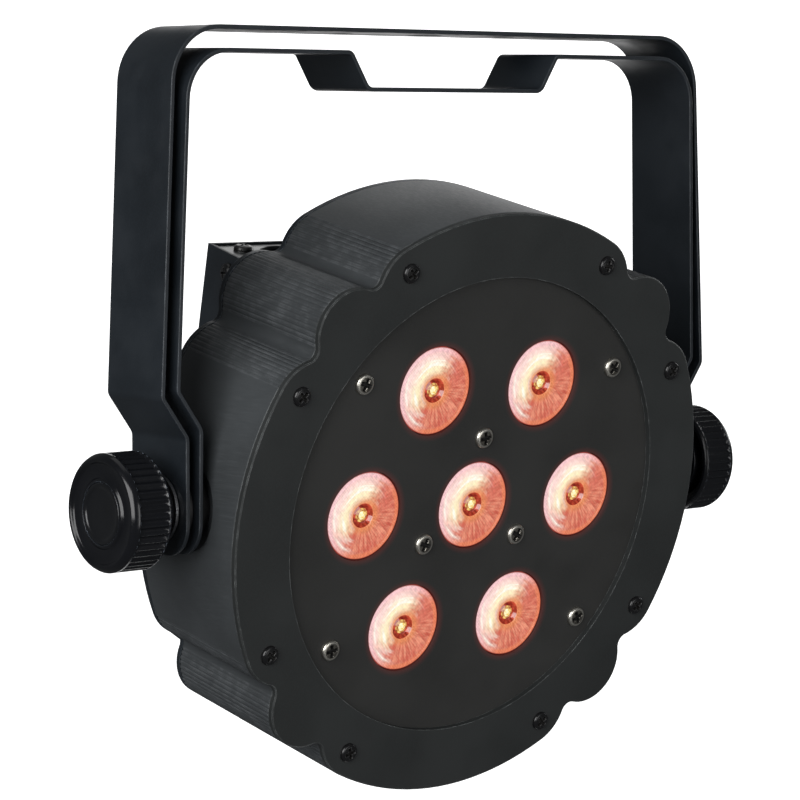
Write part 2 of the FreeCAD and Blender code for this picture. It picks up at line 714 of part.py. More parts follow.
# ---- knobs (drawn for the right side, mirrored for the left) -------------
def knob_body():
    n = 44
    pts = []
    for i in range(n):
        for f, r in ((0.0, KNOB_R - 0.1), (0.42, KNOB_R - 0.1), (0.58, KNOB_R - 0.6), (0.84, KNOB_R - 0.6)):
            a = 2 * math.pi * (i + f) / n
            pts.append(V(KNOB_IN + 1.4, PIVOT_Y + r * math.cos(a), r * math.sin(a)))
    rim = Part.Face(Part.makePolygon(pts + [pts[0]])).extrude(V(8.6, 0, 0))
    k = KNOB_OUT
    prof = [(0.0, KNOB_IN), (KNOB_R - 1.0, KNOB_IN), (KNOB_R - 0.1, KNOB_IN + 0.6),
            (KNOB_R - 0.1, KNOB_IN + 1.4),
            (KNOB_R - 0.7, KNOB_IN + 1.4), (KNOB_R - 0.7, k - 3.0), (KNOB_R - 0.1, k - 3.0),
            (KNOB_R - 0.1, k - 2.2), (KNOB_R - 0.7, k - 0.7), (14.6, k), (13.8, k - 0.3), (13.3, k - 1.1),
            (9.6, k - 1.3), (9.2, k - 0.5), (0.0, k - 0.5)]
    face = revolve_x(prof, PIVOT_Y, 0)
    hub = xcyl(9.0, PIVOT_Y, 0, 94.9, KNOB_IN + 1)
    s = fuse([rim, face, hub])
    waste = revolve_x([(11.0, 99.0), (14.4, 99.0), (13.8, 104.0), (11.6, 104.0)], PIVOT_Y, 0)
    inlay = xcyl(8.4, PIVOT_Y, 0, k - 1.1, k + 1)
    core = xcyl(STUD_R, PIVOT_Y, 0, 90, 107)
    return cut(s, [waste, inlay, core])


def knob_inlay():
    k = KNOB_OUT
    prof = [(0.0, k - 1.1), (8.4, k - 1.1), (8.4, k - 0.7), (7.7, k - 0.4), (0.0, k - 0.4)]
    return revolve_x(prof, PIVOT_Y, 0)


def knob_stud():
    prof = [(0.0, 75.0), (3.3, 75.0), (STUD_R, 75.8), (STUD_R, 107.0), (0.0, 107.0)]
    return revolve_x(prof, PIVOT_Y, 0)


def knob_washer():
    return xcyl(9.5, PIVOT_Y, 0, 93.8, 94.6).cut(xcyl(HOLE_R, PIVOT_Y, 0, 90, 96))


# ---- build --------------------------------------------------------------
def head_nodes():
    ring_pos = [(x, 0, z) for x, z in ring_points()]
    back_pos = [(x, PLATE_END, z) for x, z in ring_points()]
    side = [((side_x(y) + 0.0) * s, y, z, s) for y, z in SIDE_SCREWS for s in (-1, 1)]
    slope = BOX_FLARE / (BOX_BACK - PLATE_END)
    one = pan_screw(2.9, 1.8, 1.3, 5.0)
    sides = [aim(one, (x, y, z), (s, slope, 0), 25 * i) for i, (x, y, z, s) in enumerate(side)]
    tops = screw_group([(x, y, BOX_H - 0.6) for x, y in TOP_SCREWS], (0, 0, 1), length=4.0, shank=1.35)
    back_tabs = screw_group([(x, PLATE_END + BOX_T, z) for x in (-30, 30) for z in (-63, 63)], (0, 1, 0),
                            length=4.0)
    eye = screw_group([(x, BOX_BACK + 1.5, 48.0) for x in (-7, 7)], (0, 1, 0), length=4.0)
    nodes = {
        "housing": housing(), "front_ring": front_ring(), "front_panel": front_panel(),
        "ring_screws": screw_group(ring_pos, (0, -1, 0)),
        "panel_screws_outer": screw_group([(x, RING_T, z) for x, z in PANEL_OUT], (0, -1, 0), r=3.0, h=1.7),
        "panel_screws_inner": screw_group([(x, RING_T, z) for x, z in PANEL_IN], (0, -1, 0), r=3.0, h=1.7),
        "panel_standoffs": panel_standoffs(), "lenses": lenses(), "lens_holders": lens_holders(),
        "led_board": led_board(), "emitters": emitters(), "heat_plate": heat_plate(),
        "plate_brackets": plate_brackets(), "pivot_inserts": pivot_inserts(), "pivot_pads": pivot_pads(),
        "driver_posts": driver_posts(), "driver_board": driver_board(), "transformer": transformer(),
        "capacitors": capacitors(), "driver_sink": driver_sink(), "fuse_link": fuse_link(),
        "back_plate": back_plate(), "back_screws": screw_group(back_pos, (0, 1, 0)),
        "rear_cover": rear_cover(), "rear_end_top": end_plate(True), "rear_end_bottom": end_plate(False),
        "cover_tabs": top_screw_blocks(), "side_screws": Part.makeCompound(sides), "top_screws": tops,
        "tab_screws": back_tabs, "dmx_in_socket": xlr_body(-22.2, True), "dmx_in_pins": dmx_in_pins(),
        "dmx_out_socket": xlr_body(22.2, False), "socket_screws": socket_screws(),
        "power_inlet": power_shell(-20.5, True), "power_inlet_blades": inlet_blades(),
        "power_outlet": power_shell(20.5, False), "display_module": display_module(),
        "display_window": display_window(), "control_board": control_board(), "key_switches": key_switches(),
        "safety_eye": safety_eye(), "eye_screws": eye, "earth_stud": earth_stud(), "wiring": wiring(),
    }
    for i, name in enumerate(("menu", "down", "up", "enter")):
        nodes["button_" + name] = button(i)
    for side_name, flip in (("right", False), ("left", True)):
        for part_name, shape in (("knob", knob_body()), ("knob_inlay", knob_inlay()),
                                 ("knob_stud", knob_stud()), ("knob_washer", knob_washer())):
            nodes[side_name + "_" + part_name] = mirror_x(shape) if flip else shape
    return {n: place_head(s) for n, s in nodes.items()}


def main():
    os.makedirs("parts", exist_ok=True)
    nodes = {"outer_yoke": outer_yoke(), "inner_yoke": inner_yoke(), "yoke_spacers": yoke_spacers()}
    nodes.update(head_nodes())
    for name, shape in nodes.items():
        if not shape.isValid():
            print("invalid", name)
        solids = shape.Solids
        print(name, len(solids), round(sum(s.Volume for s in solids), 1))
        out = solids[0] if len(solids) == 1 else Part.makeCompound(solids)
        out.exportStep("parts/" + name + ".step")
    print(len(nodes), "nodes")


main()
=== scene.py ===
import bpy
import bmesh
import math
import random
from mathutils import Matrix, Vector


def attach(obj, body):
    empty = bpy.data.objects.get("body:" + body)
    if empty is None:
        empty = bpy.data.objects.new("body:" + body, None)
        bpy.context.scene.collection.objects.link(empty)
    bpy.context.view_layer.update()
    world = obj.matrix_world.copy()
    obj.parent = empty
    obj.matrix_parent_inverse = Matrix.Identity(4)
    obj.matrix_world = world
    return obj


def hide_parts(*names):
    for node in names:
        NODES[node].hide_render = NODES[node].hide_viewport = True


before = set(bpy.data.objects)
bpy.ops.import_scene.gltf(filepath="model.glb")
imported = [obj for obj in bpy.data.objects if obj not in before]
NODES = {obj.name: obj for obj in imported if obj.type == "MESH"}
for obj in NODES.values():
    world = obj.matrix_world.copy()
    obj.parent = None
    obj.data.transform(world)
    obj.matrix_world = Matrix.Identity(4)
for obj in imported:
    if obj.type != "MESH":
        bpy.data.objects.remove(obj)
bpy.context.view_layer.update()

random.seed(11)
MM = 0.001

# The head is modelled level, with its ring face at y = 0, then tilted about the knob axis.
TILT = math.radians(11.3)
PIVOT_Y = 24.4 * MM
PIVOT_DROP = 129.0 * MM
HEAD = (Matrix.Translation((0, 0, -PIVOT_DROP)) @ Matrix.Rotation(TILT, 4, "X")
        @ Matrix.Translation((0, -PIVOT_Y, 0)))

# Sizes of the pieces made here, in millimetres, in the head's level axes.
PANEL_FRONT = 1.8
LENS_FRONT = 2.4
LENS_R = 12.6
LENS_PITCH = 40.0
LENS_GRID = 0.95
RING_SCREW_R = 78.2
RING_SCREW_ANGLE = 27.8
PANEL_OUT = [(46.5, 38.2), (-46.5, 38.2), (-46.5, -38.2), (46.5, -38.2)]
PANEL_IN = [(0.0, 20.0), (-17.321, -10.0), (17.321, -10.0)]
SHANK_R = 1.4
SHANK_LENGTH = 7.0
KNOB_IN = 100.0
KNOB_OUT = 113.0
KNOB_R = 16.1
RIBS = 44
RIB_DEPTH = 0.62

# Stage, in metres.
STAGE_R = 3.2
STAGE_BEND = 0.6
FLOOR_Z = -0.48
WALL_TOP = 3.6
STAGE_GLOW = 1.06
AIM = (0, 0, -0.12)


# ---- camera -------------------------------------------------------------
def make_camera():
    cam = bpy.data.cameras.new("camera")
    cam.lens = 138.82
    cam.sensor_width = 36.0
    cam.clip_start = 0.02
    cam.clip_end = 60.0
    ob = bpy.data.objects.new("camera", cam)
    ob.location = (-0.57406, -0.67467, -0.02519)
    ob.rotation_euler = tuple(math.radians(a) for a in (84.849, -0.088, -39.95))
    bpy.context.collection.objects.link(ob)
    bpy.context.scene.camera = ob


# ---- material building --------------------------------------------------
class Graph:
    """Short names for the nodes of one material."""

    def __init__(self, name):
        self.mat = bpy.data.materials.new(name)
        self.mat.use_nodes = True
        self.tree = self.mat.node_tree
        self.tree.nodes.clear()
        self.out = self.tree.nodes.new("ShaderNodeOutputMaterial")
        self.shader = self.tree.nodes.new("ShaderNodeBsdfPrincipled")
        self.link(self.shader.outputs[0], self.out.inputs["Surface"])

    def node(self, kind, **props):
        n = self.tree.nodes.new(kind)
        for k, v in props.items():
            setattr(n, k, v)
        return n

    def link(self, a, b):
        self.tree.links.new(a, b)

    def put(self, socket, value):
        if isinstance(value, bpy.types.NodeSocket):
            self.link(value, socket)
        else:
            socket.default_value = value

    def set(self, **values):
        for k, v in values.items():
            name = k.replace("_", " ")
            self.put(self.shader.inputs[name], v)

    def coords(self, rot=(0, 0, 0), scale=(1, 1, 1)):
        tc = self.node("ShaderNodeTexCoord")
        mp = self.node("ShaderNodeMapping")
        mp.inputs["Rotation"].default_value = rot
        mp.inputs["Scale"].default_value = scale
        self.link(tc.outputs["Object"], mp.inputs["Vector"])
        return mp.outputs[0]

    def noise(self, vec, size, detail=3.0, rough=0.55):
        """size is the feature size in metres"""
        n = self.node("ShaderNodeTexNoise")
        n.inputs["Scale"].default_value = 1.0 / size
        n.inputs["Detail"].default_value = detail
        n.inputs["Roughness"].default_value = rough
        self.link(vec, n.inputs["Vector"])
        return n.outputs["Fac"]

    def ramp(self, fac, lo, hi, a=0.0, b=1.0):
        n = self.node("ShaderNodeMapRange", interpolation_type="SMOOTHSTEP")
        self.put(n.inputs["Value"], fac)
        self.put(n.inputs["From Min"], lo)
        self.put(n.inputs["From Max"], hi)
        self.put(n.inputs["To Min"], a)
        self.put(n.inputs["To Max"], b)
        return n.outputs["Result"]

    def math(self, op, a, b=None):
        n = self.node("ShaderNodeMath", operation=op)
        self.put(n.inputs[0], a)
        if b is not None:
            self.put(n.inputs[1], b)
        return n.outputs[0]

    def times(self, a, b):
        return self.math("MULTIPLY", a, b)

    def plus(self, a, b):
        return self.math("ADD", a, b)

    def centred(self, a, gain):
        """a noise about zero, scaled by gain"""
        return self.times(self.math("SUBTRACT", a, 0.5), gain)

    def vector(self, *parts):
        n = self.node("ShaderNodeCombineXYZ")
        for sock, part in zip(n.inputs, parts):
            self.put(sock, part)
        return n.outputs[0]

    def grey(self, value):
        n = self.node("ShaderNodeCombineColor")
        for sock in list(n.inputs)[:3]:
            self.link(value, sock)
        return n.outputs[0]

    def mix(self, fac, a, b, blend="MIX"):
        n = self.node("ShaderNodeMix", data_type="RGBA", blend_type=blend)
        self.put(n.inputs[0], fac)
        for sock, v in ((n.inputs[6], a), (n.inputs[7], b)):
            if isinstance(v, (tuple, list)) and len(v) == 3:
                v = (*v, 1.0)
            self.put(sock, v)
        return n.outputs[2]

    def edge(self, radius, lo=0.015, hi=0.16):
        """0 on flat faces, 1 on convex and concave edges"""
        bev = self.node("ShaderNodeBevel", samples=4)
        bev.inputs["Radius"].default_value = radius
        geo = self.node("ShaderNodeNewGeometry")
        dot = self.node("ShaderNodeVectorMath", operation="DOT_PRODUCT")
        self.link(bev.outputs[0], dot.inputs[0])
        self.link(geo.outputs["Normal"], dot.inputs[1])
        inv = self.math("SUBTRACT", 1.0, dot.outputs["Value"])
        return self.ramp(inv, lo, hi)

    def bump(self, height, depth, strength=1.0):
        n = self.node("ShaderNodeBump")
        n.inputs["Strength"].default_value = strength
        n.inputs["Distance"].default_value = depth
        self.link(height, n.inputs["Height"])
        return n.outputs[0]


def srgb(r, g, b):
    return tuple(((c / 255) / 12.92 if c <= 10.3 else ((c / 255 + 0.055) / 1.055) ** 2.4) for c in (r, g, b))


def shade(color, k):
    return tuple(min(1.0, c * k) for c in color)


def paint_graph(name, color, rough, grain, depth, spec=0.5, spread=0.25, wear=0.0,
                wear_color=(0.2, 0.2, 0.2), coat=0.0, metallic=0.0, rough_var=0.08):
    """Paint, powder coat or moulded plastic: fine grain, cloudy colour, patchy gloss, and edges lightened
    partly as wear and partly as a painted highlight.
    """
    blotch = 30 * MM
    g = Graph(name)
    v = g.coords()
    fine = g.noise(v, grain, 4.0, 0.6)
    cloud = g.noise(v, blotch, 3.0, 0.5)
    col = g.mix(g.ramp(cloud, 0.3, 0.7), shade(color, 1 - spread), shade(color, 1 + spread))
    col = g.mix(g.ramp(fine, 0.35, 0.75, 0.0, 0.5), col, shade(color, 1 + 1.6 * spread))
    # edges lightened towards a pale colour: partly wear, partly a painted highlight along the edges
    if wear:
        worn_and_highlit = g.times(g.edge(0.35 * MM), g.ramp(g.noise(v, 3.0 * MM, 4.0), 0.42, 0.66, 0.25, 1.0))
        col = g.mix(g.times(worn_and_highlit, wear), col, wear_color)
    r = g.ramp(g.noise(v, blotch * 0.5, 3.0), 0.3, 0.7, rough - rough_var, rough + rough_var)
    g.set(Base_Color=col, Roughness=r, Metallic=metallic, Normal=g.bump(fine, depth))
    g.shader.inputs["Specular IOR Level"].default_value = spec
    g.shader.inputs["Coat Weight"].default_value = coat
    g.shader.inputs["Coat Roughness"].default_value = 0.12
    return g


def painted(*args, **kwargs):
    return paint_graph(*args, **kwargs).mat


def metal(name, color, rough, grain, depth, scale=(1, 1, 1), tarnish=(0.25, 0.24, 0.22), stain=0.25):
    """Bare or plated metal with a drawn or turned grain, dull patches and a painted highlight along the
    edges.
    """
    g = Graph(name)
    fine = g.noise(g.coords(scale=scale), grain, 4.0, 0.65)
    cloud = g.ramp(g.noise(g.coords(), 2.5 * MM, 4.0), 0.4, 0.75, 0.0, stain)
    col = g.mix(cloud, color, tarnish)
    # edges painted lighter than the metal: a painted highlight
    col = g.mix(g.times(g.edge(0.2 * MM), 0.6), col, shade(color, 1.25))
    r = g.ramp(fine, 0.3, 0.7, rough * 0.7, rough * 1.35)
    g.set(Base_Color=col, Roughness=r, Metallic=1.0, Normal=g.bump(fine, depth))
    return g.mat


def housing_paint():
    """Black extrusion: die lines along the lens axis under a thin satin coat."""
    g = Graph("extruded_black")
    v = g.coords(rot=(-TILT, 0, 0), scale=(1, 0.02, 1))
    lines = g.noise(v, 0.35 * MM, 4.0, 0.7)
    wide = g.noise(v, 2.2 * MM, 2.0)
    p = g.coords()
    fine = g.noise(p, 0.5 * MM, 4.0, 0.6)
    cloud = g.noise(p, 28 * MM, 3.0)
    base = srgb(54, 57, 59)
    col = g.mix(g.ramp(cloud, 0.3, 0.7), shade(base, 0.82), shade(base, 1.15))
    col = g.mix(g.ramp(lines, 0.45, 0.8, 0.0, 0.45), col, shade(base, 1.5))
    # edges lightened towards a pale grey: partly wear, partly a painted highlight along the edges
    worn_and_highlit = g.times(g.edge(0.35 * MM), g.ramp(g.noise(p, 3.0 * MM, 4.0), 0.4, 0.66, 0.2, 0.9))
    col = g.mix(g.times(worn_and_highlit, 0.3), col, srgb(120, 123, 126))
    h = g.plus(g.times(fine, 0.6), g.plus(lines, g.times(wide, 1.5)))
    g.set(Base_Color=col, Roughness=g.ramp(lines, 0.3, 0.7, 0.42, 0.56), Normal=g.bump(h, 0.012 * MM))
    g.shader.inputs["Specular IOR Level"].default_value = 0.42
    return g.mat


def board(name, color, pad):
    """Solder resist with copper tracks and pads just under it."""
    g = Graph(name)
    v = g.coords(rot=(-TILT, 0, 0))
    brick = g.node("ShaderNodeTexBrick")
    brick.inputs["Scale"].default_value = 1.0 / (9.0 * MM)
    brick.inputs["Mortar Size"].default_value = 0.035
    brick.inputs["Brick Width"].default_value = 0.5
    brick.inputs["Row Height"].default_value = 0.22
    axes = g.node("ShaderNodeSeparateXYZ")
    g.link(v, axes.inputs[0])
    g.link(g.vector(axes.outputs[0], axes.outputs[2]), brick.inputs["Vector"])
    track = brick.outputs["Fac"]
    cloud = g.noise(v, 6 * MM, 3.0)
    col = g.mix(g.ramp(cloud, 0.3, 0.7), shade(color, 0.85), shade(color, 1.15))
    col = g.mix(g.times(track, 0.6), col, pad)
    g.set(Base_Color=col, Roughness=g.ramp(cloud, 0.3, 0.7, 0.28, 0.42), Normal=g.bump(track, 0.03 * MM))
    return g.mat


def make_materials():
    m = {}
    m["powder_black"] = painted("powder_black", srgb(22, 27, 32), 0.48, 0.55 * MM, 0.02 * MM, spec=0.42,
                                wear=0.75, wear_color=srgb(128, 136, 144))
    m["ring_black"] = painted("ring_black", srgb(38, 40, 40), 0.62, 0.45 * MM, 0.015 * MM, spec=0.25,
                              spread=0.16, wear=0.9, wear_color=srgb(128, 132, 132))
    m["housing_black"] = housing_paint()
    m["panel_black"] = panel_paint()
    m["knob_cap"] = painted("knob_cap", srgb(14, 15, 17), 0.2, 1.2 * MM, 0.006 * MM, spec=0.4, coat=0.1,
                            wear=0.6, wear_color=srgb(110, 116, 124), rough_var=0.04)
    m["lens_face"] = lens_face()
    m["lens_well"] = lens_glow("lens_well", srgb(120, 26, 16), srgb(214, 84, 58), 1.6 * MM, 0.8)
    m["lens_dome"] = lens_glow("lens_dome", srgb(150, 62, 30), srgb(246, 206, 120), 1.0 * MM, 0.95)
    m["lens_die"] = lens_glow("lens_die", srgb(226, 190, 84), srgb(255, 250, 214), 0.8 * MM, 1.05)
    m["end_black"] = painted("end_black", srgb(40, 43, 44), 0.3, 0.5 * MM, 0.008 * MM, spec=0.6, spread=0.15,
                             wear=0.6, wear_color=srgb(150, 152, 150))
    # near-black for the screw recesses: painted shade down in the cross recess
    m["recess"] = painted("recess", srgb(16, 15, 14), 0.6, 0.2 * MM, 0.01 * MM, spec=0.3)
    m["screw_rim"] = metal("screw_rim", srgb(214, 210, 200), 0.3, 0.12 * MM, 0.004 * MM)
    # the tops of the panel screws are a darker copy of the rim's steel: painted shade
    m["screw_top_painted_shade"] = metal("screw_top_painted_shade", srgb(128, 124, 116), 0.3, 0.12 * MM, 0.006 * MM, stain=0.5)
    m["black_rim"] = painted("black_rim", srgb(22, 22, 23), 0.26, 0.2 * MM, 0.008 * MM, spec=0.6, wear=0.6,
                             wear_color=srgb(120, 120, 120), metallic=0.3)
    m["black_screw"] = painted("black_screw", srgb(20, 20, 21), 0.32, 0.2 * MM, 0.008 * MM, spec=0.6,
                               wear=0.6, wear_color=srgb(150, 150, 150), metallic=0.35)
    m["stainless"] = metal("stainless", srgb(205, 203, 200), 0.24, 0.12 * MM, 0.004 * MM)
    m["zinc_steel"] = metal("zinc_steel", srgb(186, 188, 192), 0.32, 0.3 * MM, 0.006 * MM, stain=0.35)
    m["holder_black"] = painted("holder_black", srgb(26, 22, 22), 0.45, 0.3 * MM, 0.01 * MM)
    m["board_white"] = board("board_white", srgb(222, 222, 214), srgb(186, 160, 110))
    m["board_green"] = board("board_green", srgb(18, 84, 44), srgb(66, 128, 70))
    m["bare_aluminium"] = metal("bare_aluminium", srgb(206, 208, 210), 0.34, 0.25 * MM, 0.008 * MM,
                                scale=(0.05, 1, 1))
    m["brass"] = metal("brass", srgb(206, 170, 92), 0.28, 0.2 * MM, 0.004 * MM, tarnish=srgb(120, 88, 44))
    m["rubber"] = painted("rubber", srgb(24, 24, 24), 0.78, 0.25 * MM, 0.02 * MM, spec=0.3)
    m["nylon_black"] = painted("nylon_black", srgb(30, 30, 31), 0.5, 0.5 * MM, 0.015 * MM, spec=0.4)
    m["knob_black"] = painted("knob_black", srgb(13, 14, 17), 0.2, 0.9 * MM, 0.008 * MM, spec=0.38, coat=0.0,
                              wear=0.85, wear_color=srgb(122, 132, 144), rough_var=0.05)
    m["socket_black"] = painted("socket_black", srgb(28, 28, 29), 0.44, 0.4 * MM, 0.012 * MM, spec=0.45)
    m["smoked"] = painted("smoked", srgb(26, 12, 12), 0.08, 4 * MM, 0.002 * MM, spec=0.6, coat=1.0,
                          rough_var=0.03)
    m["button_grey"] = painted("button_grey", srgb(92, 93, 94), 0.46, 0.3 * MM, 0.008 * MM, wear=0.3,
                               wear_color=srgb(150, 150, 150))
    m["component"] = painted("component", srgb(52, 54, 62), 0.4, 0.6 * MM, 0.01 * MM, wear=0.2,
                             wear_color=srgb(120, 120, 120))
    m["cable"] = painted("cable", srgb(150, 44, 34), 0.42, 1.5 * MM, 0.01 * MM, spec=0.45)
    m["phosphor"] = painted("phosphor", srgb(245, 190, 90), 0.3, 0.4 * MM, 0.005 * MM, spec=0.5, coat=0.6)
    m["lens_clear"] = painted("lens_clear", srgb(214, 206, 200), 0.1, 0.8 * MM, 0.004 * MM, coat=1.0)
    return m


# ---- edges of the carried-over nodes --------------------------------------
def crisp_group():
    """Welds a node's vertices and shades it smooth, with sharp edges kept sharp."""
    g = bpy.data.node_groups.new("crisp", "GeometryNodeTree")
    g.interface.new_socket("Geometry", in_out="INPUT", socket_type="NodeSocketGeometry")
    g.interface.new_socket("Geometry", in_out="OUTPUT", socket_type="NodeSocketGeometry")
    n = g.nodes
    src = n.new("NodeGroupInput")
    out = n.new("NodeGroupOutput")
    weld = n.new("GeometryNodeMergeByDistance")
    weld.inputs["Distance"].default_value = 0.003 * MM
    drop = n.new("GeometryNodeRemoveAttribute")
    drop.inputs["Name"].default_value = "custom_normal"
    face = n.new("GeometryNodeSetShadeSmooth")
    face.domain = "FACE"
    edge = n.new("GeometryNodeSetShadeSmooth")
    edge.domain = "EDGE"
    edge.inputs["Shade Smooth"].default_value = False
    angle = n.new("GeometryNodeInputMeshEdgeAngle")
    test = n.new("FunctionNodeCompare")
    test.data_type = "FLOAT"
    test.operation = "GREATER_THAN"
    test.inputs[1].default_value = math.radians(28)
    g.links.new(src.outputs[0], weld.inputs["Geometry"])
    g.links.new(weld.outputs[0], drop.inputs["Geometry"])
    g.links.new(drop.outputs[0], face.inputs["Geometry"])
    g.links.new(face.outputs[0], edge.inputs["Geometry"])
    g.links.new(angle.outputs[0], test.inputs[0])
    g.links.new(test.outputs[0], edge.inputs["Selection"])
    g.links.new(edge.outputs[0], out.inputs[0])
    return g


CRISP = crisp_group()


def soft_edges(ob, width):
    """Rounds the sharp edges of a CAD node with modifiers only."""
    ob.modifiers.new("crisp", "NODES").node_group = CRISP
    flat = ob.modifiers.new("flat", "DECIMATE")
    flat.decimate_type = "DISSOLVE"
    flat.angle_limit = math.radians(0.3)
    flat.delimit = {"SHARP"}
    bev = ob.modifiers.new("round", "BEVEL")
    bev.width = width
    bev.segments = 2
    bev.limit_method = "ANGLE"
    bev.angle_limit = math.radians(35)
    bev.use_clamp_overlap = False
    bev.harden_normals = True


BEVELS = {"outer_yoke": 0.25, "inner_yoke": 0.25, "housing": 0.35, "rear_cover": 0.3,
          "rear_end_top": 0.25, "rear_end_bottom": 0.25, "yoke_spacers": 0.3, "pivot_pads": 0.4,
          "safety_eye": 0.2, "display_window": 0.2, "power_inlet": 0.25, "power_outlet": 0.25}

# Nodes that look different from the rest of their slot.
SPECIAL = {"front_ring": "ring_black", "rear_end_top": "end_black", "rear_end_bottom": "end_black",
           "top_screws": "black_screw", "side_screws": "black_screw"}


def dress_nodes(mats):
    for name, ob in NODES.items():
        slot = ob.data.materials[0].name
        ob.material_slots[0].link = "OBJECT"
        ob.material_slots[0].material = mats[SPECIAL.get(name, slot)]
    for name, width in BEVELS.items():
        soft_edges(NODES[name], width * MM)


# ---- new pieces -----------------------------------------------------------
def bridge(bm, p, q):
    """Faces between two rings of vertices; a ring of one vertex is a pole."""
    n = max(len(p), len(q))
    faces = []
    for i in range(n):
        j = (i + 1) % n
        if len(p) == 1:
            vs = (p[0], q[i], q[j])
        elif len(q) == 1:
            vs = (p[i], q[0], p[j])
        else:
            vs = (p[i], q[i], q[j], p[j])
        f = bm.faces.new(vs)
        f.smooth = True
        faces.append(f)
    return faces


def to_mesh(bm, name, mats, sharp_degrees):
    bmesh.ops.recalc_face_normals(bm, faces=bm.faces)
    me = bpy.data.meshes.new(name)
    bm.to_mesh(me)
    bm.free()
    me.set_sharp_from_angle(angle=math.radians(sharp_degrees))
    for m in mats:
        me.materials.append(m)
    return me


def spin(name, rows, count, mats, radius_at=None):
    """Skin of revolution about local X from rows of (x, r, material); it closes where no end is on X."""
    bm = bmesh.new()
    rings = []
    for x, r, _ in rows:
        if r < 1e-7:
            rings.append([bm.verts.new((x, 0, 0))])
            continue
        ring = []
        for i in range(count):
            a = 2 * math.pi * i / count
            rr = radius_at(x, r, a) if radius_at else r
            ring.append(bm.verts.new((x, rr * math.cos(a), rr * math.sin(a))))
        rings.append(ring)
    for k in range(len(rows) - 1):
        for f in bridge(bm, rings[k], rings[k + 1]):
            f.material_index = rows[k][2]
    if len(rings[0]) > 1 and len(rings[-1]) > 1:
        for i in range(count):
            j = (i + 1) % count
            bm.faces.new((rings[-1][i], rings[0][i], rings[0][j], rings[-1][j]))
    return to_mesh(bm, name, mats, 50)


def place(name, me, matrix, body, slot, *replaced):
    ob = bpy.data.objects.new(name, me)
    bpy.context.collection.objects.link(ob)
    ob.matrix_world = matrix
    bpy.context.view_layer.update()
    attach(ob, body)
    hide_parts(*replaced)


def rounded(rows, steps=3):
    """Rounds the corners of a list of (x, r, material, corner size), all in mm."""
    out = []
    for i, (x, r, m, c) in enumerate(rows):
        if c == 0 or i in (0, len(rows) - 1):
            out.append((x * MM, r * MM, m))
            continue
        p = Vector((x, r))
        a = Vector(rows[i - 1][:2]) - p
        b = Vector(rows[i + 1][:2]) - p
        c = min(c, a.length * 0.45, b.length * 0.45)
        pa = p + a.normalized() * c
        pb = p + b.normalized() * c
        for k in range(steps + 1):
            t = k / steps
            q = pa * (1 - t) ** 2 + p * 2 * t * (1 - t) + pb * t ** 2
            out.append((q.x * MM, q.y * MM, m if k == steps else rows[i - 1][2]))
    return out


RIBS_FROM = KNOB_IN + 1.2
RIBS_TO = KNOB_OUT - 2.4


def rib_radius(x, r, a):
    """Ribs fade out before both shoulders of the knob."""
    at = x / MM
    if r < (KNOB_R - 0.2) * MM or not RIBS_FROM < at < RIBS_TO:
        return r
    fade = min(1.0, (at - RIBS_FROM) / 0.5, (RIBS_TO - at) / 0.5)
    wave = 0.5 - 0.5 * math.cos(RIBS * a)
    return r - RIB_DEPTH * MM * math.sin(fade * math.pi / 2) * wave ** 0.75


def knob_rows():
    """Hub, hollow back, ribbed rim, then the dished face with its seat for the inlay."""
    k = KNOB_OUT
    rows = [(94.9, 4.3, 0, 0), (94.9, 9.0, 0, 0.4), (KNOB_IN, 9.0, 0, 0.2), (KNOB_IN, 11.0, 0, 0.2),
            (103.8, 11.6, 0, 0.3), (103.8, 13.8, 0, 0.3), (KNOB_IN, 14.4, 0, 0.2), (KNOB_IN, 15.3, 0, 0.3),
            (KNOB_IN + 0.8, KNOB_R, 0, 0.5)]
    rows += [(RIBS_FROM + 0.1 * i, KNOB_R, 0, 0) for i in range(6)]
    rows += [(KNOB_IN + 2.0 + (k - 5.0 - KNOB_IN) * i / 8, KNOB_R, 0, 0) for i in range(1, 8)]
    rows += [(k - 2.9 + 0.1 * i, KNOB_R, 0, 0) for i in range(6)]
    rows += [(k - 1.9, KNOB_R, 0, 0.4), (k - 0.75, 15.5, 0, 0.5), (k - 0.05, 14.6, 0, 0.35),
             (k - 0.2, 13.9, 0, 0.3), (k - 1.1, 13.3, 0, 0.4), (k - 1.3, 11.5, 0, 0.4),
             (k - 1.25, 9.8, 0, 0.4), (k - 0.6, 9.2, 0, 0.3), (k - 0.5, 8.5, 0, 0.15),
             (k - 1.05, 8.4, 0, 0.1), (k - 1.05, 6.0, 0, 0), (106.8, 6.0, 0, 0), (106.8, 4.3, 0, 0)]
    return rows


def cap_rows():
    k = KNOB_OUT
    return [(k - 1.1, 8.1, 0, 0.1), (k - 1.0, 8.33, 0, 0.1), (k - 0.6, 8.33, 0, 0.12),
            (k - 0.42, 7.9, 0, 0.15), (k - 0.45, 7.3, 0, 0.15), (k - 0.85, 6.7, 0, 0.3),
            (k - 0.95, 5.0, 0, 0.6), (k - 1.0, 2.5, 0, 0.5), (k - 1.02, 0.0, 0, 0)]


def make_knobs(m):
    grip = spin("knob", rounded(knob_rows()), RIBS * 12, [m["knob_black"]], rib_radius)
    cap = spin("knob_cap", rounded(cap_rows()), 96, [m["knob_cap"]])
    right = Matrix.Translation((0, 0, -PIVOT_DROP))
    left = right @ Matrix.Rotation(math.pi, 4, "Z")
    for side, at in (("right", right), ("left", left)):
        place(side + "_grip", grip, at, side + "_knob", "knob_black", side + "_knob")
        place(side + "_grip_cap", cap, at, side + "_knob", "knob_black", side + "_knob_inlay")


